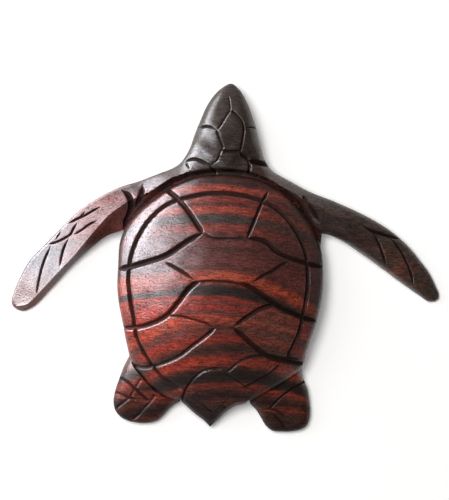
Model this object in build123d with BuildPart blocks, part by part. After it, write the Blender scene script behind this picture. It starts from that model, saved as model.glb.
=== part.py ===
from build123d import *
import os
from math import sqrt

os.makedirs("parts", exist_ok=True)

# A sea turtle carved by hand from dark striped wood, lying on its belly with its four
# flippers spread. Lengths are in millimetres. The origin is on the flat belly face, under
# the middle of the shell. +Y runs to the head, +Z up, and +X to the right as seen from
# above with the head away from the viewer. The real carving is one block. It is divided
# here along its own carved grooves, and the pieces meet face to face. Its left and right
# sides differ a little, as hand carving does, and that is kept.

# Shell
shell_width = 72.0
shell_length = 80.5
seat_height = 8.0  # underside of the shell above the table
shell_rise = 16.5  # top of the dome above that underside
edge_rise = 4.0  # height of the shell's side wall where the shell is widest
edge_round = 1.6
dome_spread_share = 1.2  # the dome's half axes over the shell's half width and length

# Carved lines between the scutes
groove_width = 2.0
groove_depth = 1.1
groove_overrun = 0.8  # how far the cutting wedge stands above the dome

# Belly, shoulders and neck
belly_round = 2.5
shoulder_drop = 4.6  # underside of the shoulders below the underside of the shell
shoulder_thickness = 8.8
left_shoulder_depth = 16.7  # front to back where the left flipper begins
right_shoulder_depth = 13.1
seat_clearance = 0.3
valley_width = 2.2  # carved valley between the shell's edge and the shoulders, at its top
neck_reach = 2.9  # from the shell's front edge to the joint of the head
neck_length = 13.0

# Head
head_length = 28.0
head_width = 29.8
head_height = 12.6
head_offset = -0.7  # the neck sits a little left of the shell's middle

# Front flippers, from the shoulder to the tip: sideways and backwards
left_flipper_reach = 38.5
left_flipper_sweep = 46.0
right_flipper_reach = 42.5
right_flipper_sweep = 34.5

# Hind flippers and tail
hind_flipper_length = 19.2
tail_length = 11.2
tail_rise = 5.4  # top of the tail's root above the underside of the shell
end_thickness = 4.6  # of a hind flipper or the tail at its far end
end_round = 1.1

overrun = 6.0  # cutting tools stand clear of what they cut by this much

half_width = shell_width / 2
half_length = shell_length / 2
dome_half_width = dome_spread_share * half_width
dome_half_length = dome_spread_share * half_length
wall_share = sqrt(1 - 1 / dome_spread_share**2)
dome_height = (shell_rise - edge_rise) / (1 - wall_share)
dome_centre = seat_height + shell_rise - dome_height
shoulder_lift = seat_height - shoulder_drop

# Plan of the shell, as shares of its half width and half length, clockwise from the neck.
shell_plan_shares = [
    (0.0, 1.0), (0.29, 0.985), (0.52, 0.895), (0.71, 0.745), (0.855, 0.585), (0.95, 0.41),
    (0.99, 0.155), (0.99, -0.03), (0.955, -0.225), (0.875, -0.49), (0.825, -0.665),
    (0.72, -0.755), (0.52, -0.875), (0.345, -0.965), (0.0, -1.0), (-0.33, -0.99),
    (-0.48, -0.96), (-0.68, -0.85), (-0.83, -0.69), (-0.865, -0.57), (-0.925, -0.35),
    (-0.985, -0.12), (-1.0, 0.18), (-0.995, 0.36), (-0.925, 0.52), (-0.82, 0.66),
    (-0.635, 0.83), (-0.45, 0.94), (-0.26, 0.99),
]

# Carved lines on the dome: across and along as shares of the shell's half width and half
# length, and the depth as a share of the groove's depth. A line fades out where its last
# depth is small, and runs out over the shell's edge where it ends past 1.
scute_line_shares = [
    # Border round the middle scutes
    [
        (-0.277, -0.897, 0.8), (-0.395, -0.868, 1.0), (-0.505, -0.813, 1.0),
        (-0.619, -0.697, 1.0), (-0.716, -0.546, 1.0), (-0.806, -0.351, 1.0),
        (-0.862, -0.154, 1.0), (-0.89, 0.03, 1.0), (-0.88, 0.226, 1.0),
        (-0.823, 0.394, 1.0), (-0.717, 0.555, 1.0), (-0.551, 0.693, 1.0),
        (-0.323, 0.775, 1.0), (-0.055, 0.813, 1.0), (0.218, 0.792, 1.0),
        (0.495, 0.702, 1.0), (0.68, 0.538, 1.0), (0.799, 0.345, 1.0),
        (0.838, 0.104, 1.0), (0.82, -0.157, 1.0), (0.766, -0.377, 1.0),
        (0.698, -0.527, 1.0), (0.64, -0.61, 0.6),
    ],
    # First middle scute, left
    [
        (-0.6, 0.845, 0.6), (-0.478, 0.753, 1.0), (-0.354, 0.636, 1.0), (-0.197, 0.449, 0.7),
    ],
    # First middle scute, right
    [
        (0.42, 0.88, 0.4), (0.348, 0.724, 1.0), (0.281, 0.553, 1.0), (0.225, 0.41, 0.5),
    ],
    # First middle scute, rear
    [
        (-0.215, 0.465, 0.5), (-0.098, 0.415, 0.8), (0.067, 0.414, 0.8), (0.25, 0.43, 0.5),
    ],
    # First side scute, left
    [
        (-0.18, 0.455, 0.5), (-0.347, 0.362, 1.0), (-0.533, 0.24, 1.0),
        (-0.723, 0.166, 1.0), (-0.884, 0.12, 1.0), (-1.05, 0.08, 1.0),
    ],
    # First side scute, right
    [
        (0.21, 0.425, 0.5), (0.407, 0.39, 1.0), (0.538, 0.315, 1.0),
        (0.677, 0.264, 1.0), (0.834, 0.228, 1.0), (1.05, 0.2, 1.0),
    ],
    # Second middle scute, left
    [
        (-0.6, 0.2, 0.4), (-0.449, 0.136, 0.8), (-0.35, 0.088, 0.6), (-0.26, 0.04, 0.3),
    ],
    # Second middle scute, right
    [
        (0.66, 0.25, 0.4), (0.49, 0.16, 0.8), (0.396, 0.1, 0.8), (0.303, 0.04, 0.4),
    ],
    # Second side scute, left
    [
        (0.06, 0.038, 0.3), (-0.084, 0.036, 0.8), (-0.219, 0.02, 1.0), (-0.311, -0.058, 1.0),
        (-0.401, -0.173, 1.0), (-0.51, -0.289, 1.0), (-0.66, -0.364, 1.0),
        (-0.803, -0.401, 1.0), (-1.0, -0.42, 1.0),
    ],
    # Second side scute, right
    [
        (0.02, 0.036, 0.3), (0.187, 0.027, 0.8), (0.386, -0.049, 1.0), (0.537, -0.135, 1.0),
        (0.686, -0.196, 1.0), (0.834, -0.24, 1.0), (1.03, -0.27, 1.0),
    ],
    # Third middle scute, left
    [
        (-0.53, -0.27, 0.4), (-0.326, -0.288, 0.8), (-0.159, -0.314, 0.8),
        (-0.02, -0.35, 0.4),
    ],
    # Third middle scute, right
    [
        (0.56, -0.13, 0.4), (0.376, -0.194, 1.0), (0.255, -0.268, 1.0),
        (0.12, -0.345, 0.4),
    ],
    # Third side scute, left
    [
        (0.0, -0.345, 0.4), (-0.14, -0.466, 1.0), (-0.259, -0.574, 1.0),
        (-0.399, -0.666, 1.0), (-0.56, -0.721, 1.0), (-0.713, -0.735, 1.0),
        (-0.88, -0.72, 0.8),
    ],
    # Third side scute, right
    [
        (0.11, -0.32, 0.3), (0.226, -0.412, 0.9), (0.317, -0.477, 1.0),
        (0.458, -0.56, 1.0), (0.596, -0.593, 1.0), (0.732, -0.61, 1.0), (0.93, -0.64, 0.8),
    ],
    # Rear middle scute
    [
        (-0.325, -1.03, 0.8), (-0.277, -0.897, 1.0), (-0.197, -0.789, 1.0),
        (-0.075, -0.718, 0.9), (0.051, -0.71, 0.6), (0.147, -0.698, 0.6),
        (0.241, -0.654, 0.9), (0.325, -0.607, 1.0), (0.458, -0.55, 0.7),
    ],
    # Rear border, right
    [
        (0.62, -0.58, 0.4), (0.525, -0.709, 0.8), (0.424, -0.792, 0.8), (0.28, -0.87, 0.4),
    ],
]

# Chords where the hind flippers and the tail leave the belly, and the plan of the belly's
# front and sides between them, as shares of the shell's half width and half length.
left_hip_shares = (-0.82, -0.604)
left_tail_shares = (-0.333, -0.954)
right_tail_shares = (0.339, -0.954)
right_hip_shares = (0.8, -0.596)
belly_side_shares = [
    right_hip_shares, (0.905, -0.22), (0.94, 0.1), (0.88, 0.42), (0.68, 0.7), (0.42, 0.88),
    (0.0, 0.94), (-0.42, 0.88), (-0.68, 0.73), (-0.88, 0.48), (-0.95, 0.18),
    (-0.905, -0.25), left_hip_shares,
]

# Shoulders between the two flippers: across as a share of the way to the joint, and front
# and rear as shares of the shell's half length.
shoulder_reach_share = 0.96
shoulder_front_share = 0.835
yoke_shares = [(-0.7, 0.945, 0.5), (-0.35, 1.02, 0.6), (0.35, 1.02, 0.6), (0.7, 0.925, 0.5)]

# Cross-section of a shoulder or front flipper: from its front edge to its rear edge as
# shares of that width, and up as shares of its thickness. The ridge's place is given by
# each station.
blade_front_shares = [(0.12, 0.0), (0.0, 0.3), (0.05, 0.7)]
blade_rear_shares = [(1.0, 0.3), (0.92, 0.0)]
blade_corner_share = 0.12
shoulder_ridge_share = 0.35

# Stations of the front flippers after the shoulder. Each gives the front edge and the rear
# edge as shares of the flipper's reach and sweep, the ridge, the height of the underside
# as a share of the shoulder's, and the thickness as a share of the shoulder's.
left_blade_shares = [
    ((0.2, 0.075), (0.15, 0.41), 0.42, 0.9, 0.95),
    ((0.37, 0.18), (0.24, 0.45), 0.62, 0.78, 0.88),
    ((0.54, 0.322), (0.34, 0.525), 0.76, 0.65, 0.8),
    ((0.701, 0.472), (0.473, 0.645), 0.83, 0.5, 0.71),
    ((0.84, 0.62), (0.61, 0.785), 0.87, 0.37, 0.6),
    ((0.935, 0.76), (0.735, 0.905), 0.89, 0.26, 0.48),
    ((0.985, 0.875), (0.835, 0.975), 0.88, 0.19, 0.35),
    ((0.99, 0.955), (0.905, 1.0), 0.85, 0.15, 0.22),
]
right_blade_shares = [
    ((0.212, 0.099), (0.094, 0.406), 0.42, 0.9, 0.96),
    ((0.398, 0.194), (0.231, 0.491), 0.66, 0.77, 0.87),
    ((0.567, 0.31), (0.4, 0.61), 0.76, 0.62, 0.78),
    ((0.725, 0.467), (0.572, 0.746), 0.81, 0.46, 0.67),
    ((0.855, 0.645), (0.72, 0.87), 0.83, 0.32, 0.54),
    ((0.94, 0.79), (0.84, 0.955), 0.85, 0.22, 0.4),
    ((0.99, 0.905), (0.925, 0.998), 0.85, 0.15, 0.25),
]

# Cross-section of the neck and head: across as shares of the half width, and up as shares
# of the section's height, once round from the middle of the throat.
head_section_shares = [
    (0.0, 0.0), (0.66, 0.04), (1.0, 0.38), (0.8, 0.76), (0.36, 0.99),
    (-0.36, 0.99), (-0.8, 0.76), (-1.0, 0.38), (-0.66, 0.04),
]
# Stations from the joint to the snout: along as a share of the head's length, half width
# as a share of the head's, and throat and crown as shares of the head's height.
head_station_shares = [
    (0.0, 1.0, 0.0, 0.86), (0.13, 0.88, 0.03, 0.94), (0.32, 0.77, 0.07, 1.0),
    (0.5, 0.66, 0.1, 0.96), (0.675, 0.53, 0.13, 0.83), (0.82, 0.39, 0.17, 0.67),
    (0.925, 0.235, 0.21, 0.51), (1.0, 0.06, 0.27, 0.36),
]
# The same for the neck behind the joint, along as a share of the neck's length.
neck_station_shares = [
    (0.0, 1.0, 0.0, 0.86), (0.16, 1.2, 0.0, 0.83), (0.36, 1.42, 0.0, 0.78),
    (1.0, 1.5, 0.0, 0.7),
]

# Plans of the hind flippers, along the chord where they leave the belly and out from it,
# as shares of the chord and of the flipper's length.
left_hind_shares = [
    (0.0, 0.0), (0.045, 0.135), (0.09, 0.35), (0.133, 0.495), (0.192, 0.688), (0.27, 0.868),
    (0.37, 0.955), (0.502, 1.0), (0.645, 0.957), (0.784, 0.883), (0.9, 0.762),
    (0.972, 0.656), (0.99, 0.515), (1.0, 0.321), (1.02, 0.14), (1.0, 0.0),
]
right_hind_shares = [
    (0.0, 0.0), (0.05, 0.14), (0.095, 0.3), (0.114, 0.441), (0.173, 0.594), (0.239, 0.745),
    (0.365, 0.933), (0.485, 1.02), (0.604, 1.018), (0.742, 0.953), (0.91, 0.843),
    (1.033, 0.727), (1.045, 0.578), (1.032, 0.429), (1.03, 0.248), (1.0, 0.0),
]
# Plan of the tail, along its chord and out from it.
tail_shares = [
    (0.0, 0.0), (0.02, 0.25), (0.22, 0.62), (0.44, 1.0), (0.66, 0.62), (0.9, 0.28), (1.0, 0.0),
]


def shell_plan(grow):
    """Points of the shell's plan, with its half width and half length grown by grow."""
    return [
        (x * (half_width + grow), y * (half_length + grow)) for x, y in shell_plan_shares
    ]


def on_shell(shares):
    """A plan point given as shares of the shell's half width and half length."""
    return Vector(shares[0] * half_width, shares[1] * half_length)


def on_dome(x_share, y_share):
    """A point of the dome's surface and the direction that faces straight out there."""
    x = x_share * half_width
    y = y_share * half_length
    height_share = sqrt(1 - (x / dome_half_width) ** 2 - (y / dome_half_length) ** 2)
    point = Vector(x, y, dome_centre + dome_height * height_share)
    outward = Vector(
        x / dome_half_width**2, y / dome_half_length**2, height_share / dome_height
    )
    return point, outward.normalized()


def blade_plane(front, rear, lift):
    """Upright plane through a front and a rear edge point, with its origin at the front."""
    across = (rear - front).normalized()
    return Plane(Vector(front.X, front.Y, lift), x_dir=across, z_dir=across.cross(Vector(0, 0, 1)))


def blade_points(width, thickness, ridge_share):
    """Corners of a flipper's cross-section, once round from the underside's front."""
    corners = blade_front_shares + [(ridge_share, 1)] + blade_rear_shares
    return [(u * width, v * thickness) for u, v in corners]


def head_points(width_share, throat_share, crown_share):
    """Points of the neck's or head's cross-section, once round from the throat."""
    half = width_share * head_width / 2
    throat = shoulder_lift + throat_share * head_height
    rise = (crown_share - throat_share) * head_height
    return [(head_offset + x * half, throat + z * rise) for x, z in head_section_shares]


def away_from_belly(start, end):
    """Level direction that faces away from the belly across the chord from start to end."""
    across = Vector(end.Y - start.Y, start.X - end.X).normalized()
    return across if across.dot(start) > 0 else -across


def beside_chord(start, end, reach, shares):
    """Plan points beside the chord from start to end, on the side away from the belly."""
    outward = away_from_belly(start, end) * reach
    return [start + (end - start) * along + outward * out for along, out in shares]


shoulder_x = shoulder_reach_share * half_width
shoulder_y = shoulder_front_share * half_length
left_root = (Vector(-shoulder_x, shoulder_y), Vector(-shoulder_x, shoulder_y - left_shoulder_depth))
right_root = (Vector(shoulder_x, shoulder_y), Vector(shoulder_x, shoulder_y - right_shoulder_depth))
head_joint_y = half_length + neck_reach
left_hip = on_shell(left_hip_shares)
left_tail = on_shell(left_tail_shares)
right_tail = on_shell(right_tail_shares)
right_hip = on_shell(right_hip_shares)

# The dome is an ellipsoid, turned so that its poles lie front and back, outside the shell.
with BuildPart() as dome:
    Sphere(dome_half_width, rotation=(90, 0, 0))
    scale(by=(1, dome_half_length / dome_half_width, dome_height / dome_half_width))

# Room for the shell in the belly and limbs, opening upwards into a carved valley.
with BuildPart() as seat:
    for level, grow in [
        (seat_height, seat_clearance),
        (seat_height + edge_rise + overrun, valley_width),
    ]:
        with BuildSketch(Plane.XY.offset(level)):
            with BuildLine():
                Spline(*shell_plan(grow), periodic=True)
            make_face()
    loft()

# Carapace
with BuildPart() as carapace:
    with BuildSketch(Plane.XY.offset(seat_height)):
        with BuildLine():
            Spline(*shell_plan(0), periodic=True)
        make_face()
    extrude(amount=shell_rise + overrun)
    with Locations((0, 0, dome_centre)):
        add(dome.part, mode=Mode.INTERSECT)
    dome_edge = carapace.faces().sort_by(Axis.Z)[-1].outer_wire().edges()
    fillet(dome_edge, radius=edge_round)
    for line_shares in scute_line_shares:
        spots = [on_dome(across_share, along_share) for across_share, along_share, _ in line_shares]
        for number, (point, outward) in enumerate(spots):
            along = spots[min(number + 1, len(spots) - 1)][0] - spots[max(number - 1, 0)][0]
            depth = line_shares[number][2] * groove_depth
            half_top = (depth + groove_overrun) * groove_width / (2 * groove_depth)
            with BuildSketch(Plane(point, x_dir=outward.cross(along), z_dir=along)):
                Polygon((-half_top, groove_overrun), (half_top, groove_overrun), (0, -depth))
        loft(mode=Mode.SUBTRACT)
carapace.part.label = "carapace"
export_step(carapace.part, "parts/carapace.step")

# Plastron: the flat belly, the shoulders in front of the shell, and the neck
with BuildPart() as plastron:
    with BuildSketch():
        with BuildLine():
            Spline(*[on_shell(shares) for shares in belly_side_shares])
            Polyline(left_hip, left_tail, right_tail, right_hip)
        make_face()
    extrude(amount=seat_height)
    belly_edge = plastron.edges().group_by(Axis.Z)[0].sort_by(SortBy.LENGTH)[-1]
    fillet(belly_edge, radius=belly_round)
    yoke_stations = [left_root]
    for across, front, rear in yoke_shares:
        x = across * shoulder_x
        yoke_stations.append((Vector(x, front * half_length), Vector(x, rear * half_length)))
    yoke_stations.append(right_root)
    for front, rear in yoke_stations:
        corners = blade_points((rear - front).length, shoulder_thickness, shoulder_ridge_share)
        with BuildSketch(blade_plane(front, rear, shoulder_lift)):
            with BuildLine():
                FilletPolyline(
                    *corners, radius=blade_corner_share * shoulder_thickness, close=True
                )
            make_face()
    loft()
    for behind_share, *section_shares in neck_station_shares:
        with BuildSketch(Plane.XZ.offset(behind_share * neck_length - head_joint_y)):
            with BuildLine():
                Spline(*head_points(*section_shares), periodic=True)
            make_face()
    loft()
    add(seat.part, mode=Mode.SUBTRACT)
plastron.part.label = "plastron"
export_step(plastron.part, "parts/plastron.step")

# Head
with BuildPart() as head:
    for ahead_share, *section_shares in head_station_shares:
        with BuildSketch(Plane.XZ.offset(-head_joint_y - ahead_share * head_length)):
            with BuildLine():
                Spline(*head_points(*section_shares), periodic=True)
            make_face()
    loft()
head.part.label = "head"
export_step(head.part, "parts/head.step")

# Front flippers
for name, root, sideways, backwards, blade_shares in [
    (
        "left_front_flipper", left_root, -left_flipper_reach, -left_flipper_sweep,
        left_blade_shares,
    ),
    (
        "right_front_flipper", right_root, right_flipper_reach, -right_flipper_sweep,
        right_blade_shares,
    ),
]:
    with BuildPart() as flipper:
        stations = [(*root, shoulder_ridge_share, 1, 1)]
        for front_shares, rear_shares, *section_shares in blade_shares:
            front = root[0] + Vector(front_shares[0] * sideways, front_shares[1] * backwards)
            rear = root[0] + Vector(rear_shares[0] * sideways, rear_shares[1] * backwards)
            stations.append((front, rear, *section_shares))
        for front, rear, ridge_share, lift_share, thickness_share in stations:
            thickness = thickness_share * shoulder_thickness
            corners = blade_points((rear - front).length, thickness, ridge_share)
            with BuildSketch(blade_plane(front, rear, lift_share * shoulder_lift)):
                with BuildLine():
                    FilletPolyline(*corners, radius=blade_corner_share * thickness, close=True)
                make_face()
        loft()
        add(seat.part, mode=Mode.SUBTRACT)
    flipper.part.label = name
    export_step(flipper.part, f"parts/{name}.step")

# Hind flippers and tail: flat underneath, and thinner towards their far ends on top. The
# tail's top carries on the slope of the dome behind the shell.
for name, start, end, reach, root_height, plan_shares in [
    (
        "left_hind_flipper", left_hip, left_tail, hind_flipper_length, seat_height,
        left_hind_shares,
    ),
    (
        "right_hind_flipper", right_hip, right_tail, hind_flipper_length, seat_height,
        right_hind_shares,
    ),
    ("tail", left_tail, right_tail, tail_length, seat_height + tail_rise, tail_shares),
]:
    with BuildPart() as paddle:
        with BuildSketch():
            with BuildLine():
                Spline(*beside_chord(start, end, reach, plan_shares))
                Line(end, start)
            make_face()
        extrude(amount=root_height)
        outward = away_from_belly(start, end)
        root_top = Vector(start.X, start.Y, root_height)
        slope = outward * (root_height - end_thickness) + Vector(0, 0, reach)
        split(bisect_by=Plane(root_top, x_dir=end - start, z_dir=slope), keep=Keep.BOTTOM)
        rims = paddle.edges().filter_by(lambda edge: (edge @ 0.5 - start).dot(outward) > end_round)
        fillet(rims, radius=end_round)
        if root_height > seat_height:
            add(seat.part, mode=Mode.SUBTRACT)
    paddle.part.label = name
    export_step(paddle.part, f"parts/{name}.step")
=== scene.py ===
"""A sea turtle carved by hand from dark striped wood, seen from straight above.

Lengths are in millimetres, in the frame of the CAD model: +Y runs to the head, +Z up, and
the table is at zero. add_piece turns them into Blender's metres.

Every piece is a height worked out over a grid of plan spots. The front flippers, shoulders,
neck and head are one carved body that is cut into pieces, so one rule gives their height:
between an edge and a crest line the wood rises as a rounded roof. The shell is a dome.
Carved lines are then pressed into the surface along its normal.
"""

from math import pi, radians

import bmesh
import bpy
import numpy as np
from numpy.linalg import norm
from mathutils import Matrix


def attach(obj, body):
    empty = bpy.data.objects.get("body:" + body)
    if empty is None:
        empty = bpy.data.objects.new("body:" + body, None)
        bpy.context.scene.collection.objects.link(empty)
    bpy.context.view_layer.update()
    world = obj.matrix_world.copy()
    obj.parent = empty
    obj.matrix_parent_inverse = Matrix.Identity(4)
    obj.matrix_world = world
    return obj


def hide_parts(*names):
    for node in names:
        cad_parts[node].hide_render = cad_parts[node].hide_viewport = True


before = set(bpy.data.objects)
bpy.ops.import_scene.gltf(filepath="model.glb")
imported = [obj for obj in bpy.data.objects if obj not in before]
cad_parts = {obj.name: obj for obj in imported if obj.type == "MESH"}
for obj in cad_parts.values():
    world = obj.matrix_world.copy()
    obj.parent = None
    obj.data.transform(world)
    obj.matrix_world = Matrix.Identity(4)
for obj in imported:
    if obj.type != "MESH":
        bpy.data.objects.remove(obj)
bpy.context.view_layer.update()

METRE = 0.001  # metres in a millimetre
EDGE_WEAR, CREST_WEAR = 0.6, 1.6  # how far the corners of an outline and a crest are worn

# Plan outline of the body in front, from the tip of the left front flipper, over the
# shoulder, the neck, the nose and the other shoulder, to the tip of the right one.
FRONT_EDGE = [
    (-70.9, -11.7), (-72.2, -10.7), (-72.7, -8.6), (-72.1, -6), (-69.9, 0), (-66.8, 6),
    (-63.5, 9.8), (-56.9, 17.2), (-50.3, 24.2), (-43.6, 29.1), (-36.9, 32.8), (-30, 35.4),
    (-23.2, 38.5), (-19, 40.4), (-16.3, 42.4), (-14.8, 44.7), (-13.3, 47.9), (-12, 52.5),
    (-10.3, 57.4), (-8.4, 62.4), (-6.6, 65.7), (-3.3, 69.4), (-0.3, 71.1), (3, 68.9), (5.3, 65.5),
    (7.5, 60.9), (9.8, 54.6), (11.4, 49.5), (12.7, 45.7), (14.2, 43.1), (16, 41.3), (18.6, 39.9),
    (22.2, 38.2), (29.3, 34.9), (36.4, 32.6), (43.5, 30), (50.7, 27), (57.9, 23.1), (65.2, 17.4),
    (68.9, 13.4), (72.6, 9), (75.05, 4.7), (76.55, 1.4), (76.35, -0.1), (75.15, -0.8),
]
# Rear edge of each front flipper from its tip to its armpit, and the valley between the
# shell and the shoulders from the left armpit to the right one.
LEFT_REAR_EDGE = [
    (-70.9, -11.7), (-68.6, -12.3), (-66.4, -11.4), (-59.2, -4), (-52.7, 4), (-46.1, 10.8),
    (-39.4, 16.2), (-36.6, 17.3),
]
VALLEY = [
    (-34.9, 18), (-31.4, 23.6), (-26, 29.2), (-19.6, 34.7), (-12.8, 38.3), (-4.1, 40.3),
    (6.3, 40.3), (14.5, 38.1), (22.4, 33), (28.4, 26.8), (33, 20.8),
]
RIGHT_REAR_EDGE = [
    (36, 20.4), (40.7, 18.7), (47.9, 14.6), (55.1, 10.1), (62.4, 5.3), (69.6, 0.9), (73.2, -1.1),
    (75.4, -0.8),
]

# Crest lines: plan spot, then heights of the underside, the edge and the crest, and how
# round the crest is: near 1 is a sharp ridge, and higher is flatter on top.
LEFT_CREST = [
    (-70.4, -10.6, 0.6, 1.1, 2.8, 1.4), (-67.6, -10.2, 0.65, 1.3, 4, 1.4),
    (-64.4, -7, 0.9, 1.6, 5.7, 1.3), (-60.9, -2.9, 1.1, 2, 7.1, 1.3),
    (-57.3, 1.5, 1.4, 2.6, 8.1, 1.3), (-53.3, 6, 1.7, 3.5, 8.9, 1.3),
    (-50.1, 10.1, 2.1, 4.6, 9.5, 1.3), (-47.1, 14.1, 2.4, 5.9, 10, 1.3),
    (-44.1, 18.1, 2.7, 7, 10.4, 1.3), (-40.4, 22.6, 3, 7.9, 10.9, 1.3),
    (-36.6, 25.9, 3.3, 8.3, 11.4, 1.3), (-34.6, 27.4, 3.4, 8.4, 11.6, 1.3),
    (-31, 29.3, 3.4, 8.4, 12.1, 1.3), (-28.2, 30.6, 3.4, 8.2, 12.4, 1.3),
    (-23, 34.2, 3.4, 8.3, 12.6, 1.35), (-19.6, 36.8, 3.4, 8.3, 12.9, 1.4),
    (-14.6, 38.9, 3.4, 8.2, 13.1, 1.6), (-7.9, 40.8, 3.4, 7.8, 13.7, 2),
    (-0.6, 41.8, 3.4, 7.5, 14.2, 2.3),
]
RIGHT_CREST = [
    (-0.6, 41.8, 3.4, 7.5, 14.2, 2.3), (7.9, 40.9, 3.4, 7.4, 13.7, 2.1),
    (14.9, 38.3, 3.4, 7.3, 13, 1.6), (22.3, 34.5, 3.4, 7.2, 12.5, 1.6),
    (29.5, 30.9, 3.4, 7, 12.2, 1.6), (34.6, 28.4, 3.4, 6.9, 12, 1.6),
    (37.6, 26.9, 3.3, 6.7, 11.8, 1.6), (40.6, 24.9, 3.1, 6.3, 11.4, 1.9),
    (43.6, 21.4, 2.9, 5.8, 10.9, 1.9), (46.9, 18.2, 2.6, 5.2, 10.2, 1.9),
    (50.4, 15.7, 2.3, 4.7, 9.5, 1.9), (54, 13.4, 2.1, 4.2, 8.8, 1.9),
    (58, 10.9, 1.8, 3.6, 7.9, 1.9), (62, 8.4, 1.5, 3.1, 7.1, 1.9), (66.5, 5.4, 1.1, 2.5, 5.9, 1.9),
    (70.2, 3.1, 0.9, 2.1, 4.8, 1.9), (73.2, 1.5, 0.75, 1.7, 3.7, 1.9),
    (75.2, 0.6, 0.6, 1.3, 2.6, 1.9),
]
SPINE = [
    (-0.6, 41.8, 3.4, 7.5, 14.2, 2.3), (-0.3, 46.8, 3.7, 8, 15.2, 2.5),
    (0, 52.1, 4.2, 8.7, 15.9, 2.9), (0.2, 57.2, 4.6, 8.7, 15.3, 3.8), (0.1, 62, 5, 8.4, 13.7, 4.6),
    (-0.1, 66.1, 5.5, 7.9, 11.7, 4.4), (-0.2, 69, 6, 7.5, 9.6, 3.4),
    (-0.3, 70.7, 6.7, 7.3, 8, 2.4),
]

SHELL_EDGE = [
    (0, 39), (10.2, 38.3), (18.4, 35.1), (25.2, 29.3), (30.5, 23), (34, 16.2), (35.6, 6.2),
    (35.6, -1.2), (34.4, -9.1), (31.5, -19.7), (29.7, -26.8), (25.9, -30.4), (18.7, -35.2),
    (12.4, -38.8), (0, -40.2), (-11.9, -39.9), (-17.3, -39.3), (-21.7, -36.6), (-25.4, -32.9),
    (-29.2, -28.6), (-31.1, -22.9), (-33.3, -14.1), (-35.5, -4.8), (-36, 7.2), (-35.8, 14),
    (-33.5, 20), (-29.8, 24.8), (-26.5, 27.9), (-22.9, 30.8), (-19.6, 33.3), (-16.2, 35.3),
    (-10.4, 37.9), (-4.5, 38.8),
]
DOME_HALF_WIDTH, DOME_HALF_LENGTH, DOME_HEIGHT = 43.2, 48.3, 27.85
DOME_CENTRE = -3.45  # height of the middle of the dome's ellipsoid
SHELL_UNDERSIDE = 7.7
SEAT = 7.9  # top of the belly under the shell
FACET_LIP, LIP_WIDTH = 0.12, 1.0  # share of a planed facet's rise in its rounded edge
DOMED_FROM, DOMED_OVER = 2, 0.6  # crests rounder than this are domed, and sharper ones planed
SHOULDER_END, SHOULDER_FADE = 38.5, 4.0  # x at which the rear edge leaves the shell's valley
LIMB_UNDERCUT, PADDLE_UNDERCUT = 3.5, 1.6  # width over which an underside rounds up
BELLY_LIFT, BELLY_ROUND, BELLY_FADE = 6.5, 5, 8.0  # height and width of the belly's sides
SOFTENED = 0.5  # share of the tool marks that the polish leaves on the shell and the tail
SHELL_EDGE_ROUND = 1.3
JOIN_HALF_WIDTH, JOIN_START, JOIN_FADE = 13, 34, 2.0  # where the tail carries the shell on
JOIN_SHARPNESS = 0.9  # share of the shell's rounded edge that is missing there

KNIFE_SLANT = 0.15  # how far the bottom of a V lies from its middle, towards the head
LINE_END, END_START = 0.15, 0.1  # share of a line's size at its ends, and how soon it grows
WORN_LIP, WORN_LIP_WIDTH = 0.08, 0.8  # shares of a line's depth and width

LEFT_CUT, RIGHT_CUT = (-34.6, -34.9), (34.6, 34.2)  # x of each shoulder joint, front and rear
LEFT_RIDGE_JOINT, RIGHT_RIDGE_JOINT = (-34.6, 27.4), (34.6, 28.4)
RIDGE_CLEAR, REAR_CLEAR, SPINE_CLEAR = 0.4, 0.1, 0.5  # how far past its joint each line goes on
NECK_REACH, JOINT_REACH = 20, 3  # the part of an edge in which a joint is looked for
HEAD_CUT = 43.4
BELLY_LEFT = [(-34.9, 18.4), (-34, 8), (-33.6, -2), (-32.4, -12), (-29.5, -24.3)]
BELLY_RIGHT = [(28.8, -24), (31.6, -12), (33, -2), (33.6, 8), (34.2, 20.3)]
LEFT_TAIL_ROOT, RIGHT_TAIL_ROOT = (-12, -38.4), (12.2, -38.4)

# Hind flippers and tail: left edge and right edge from the root to the far end.
LEFT_HIND_EDGES = (
    [(-29.5, -24.3), (-31, -26.8), (-32.6, -30.8), (-33.6, -34.2), (-34.7, -38.2),
     (-35.1, -42.4), (-34.2, -45.3), (-32, -47.5), (-28.8, -48.7), (-25.6, -49.1)],
    [(-12, -38.4), (-11.8, -40.6), (-13.4, -41.6), (-15.2, -43.2), (-17.5, -46),
     (-19.4, -47.8), (-21.8, -48.7), (-25.6, -49.1)],
)
RIGHT_HIND_EDGES = (
    [(12.2, -38.4), (12.7, -40.1), (14.8, -42.1), (16.7, -44.8), (18.2, -47.1), (20.3, -48.9),
     (25.4, -49.3)],
    [(28.8, -24), (30, -26), (30.2, -28.2), (30.9, -30.7), (32.1, -33.1), (32.9, -36.2),
     (33.5, -39.3), (33.7, -43.8), (32.8, -46.7), (30.8, -48.2), (27.8, -49), (25.4, -49.3)],
)
TAIL_EDGES = (
    [(-12, -38.4), (-11.3, -40.6), (-9.6, -42.1), (-6.4, -44.7), (-3.1, -46.9), (-0.9, -48.9)],
    [(12.2, -38.4), (11.2, -39.8), (7.6, -41.1), (4.4, -43.4), (1.4, -46.6), (-0.9, -48.9)],
)
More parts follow.
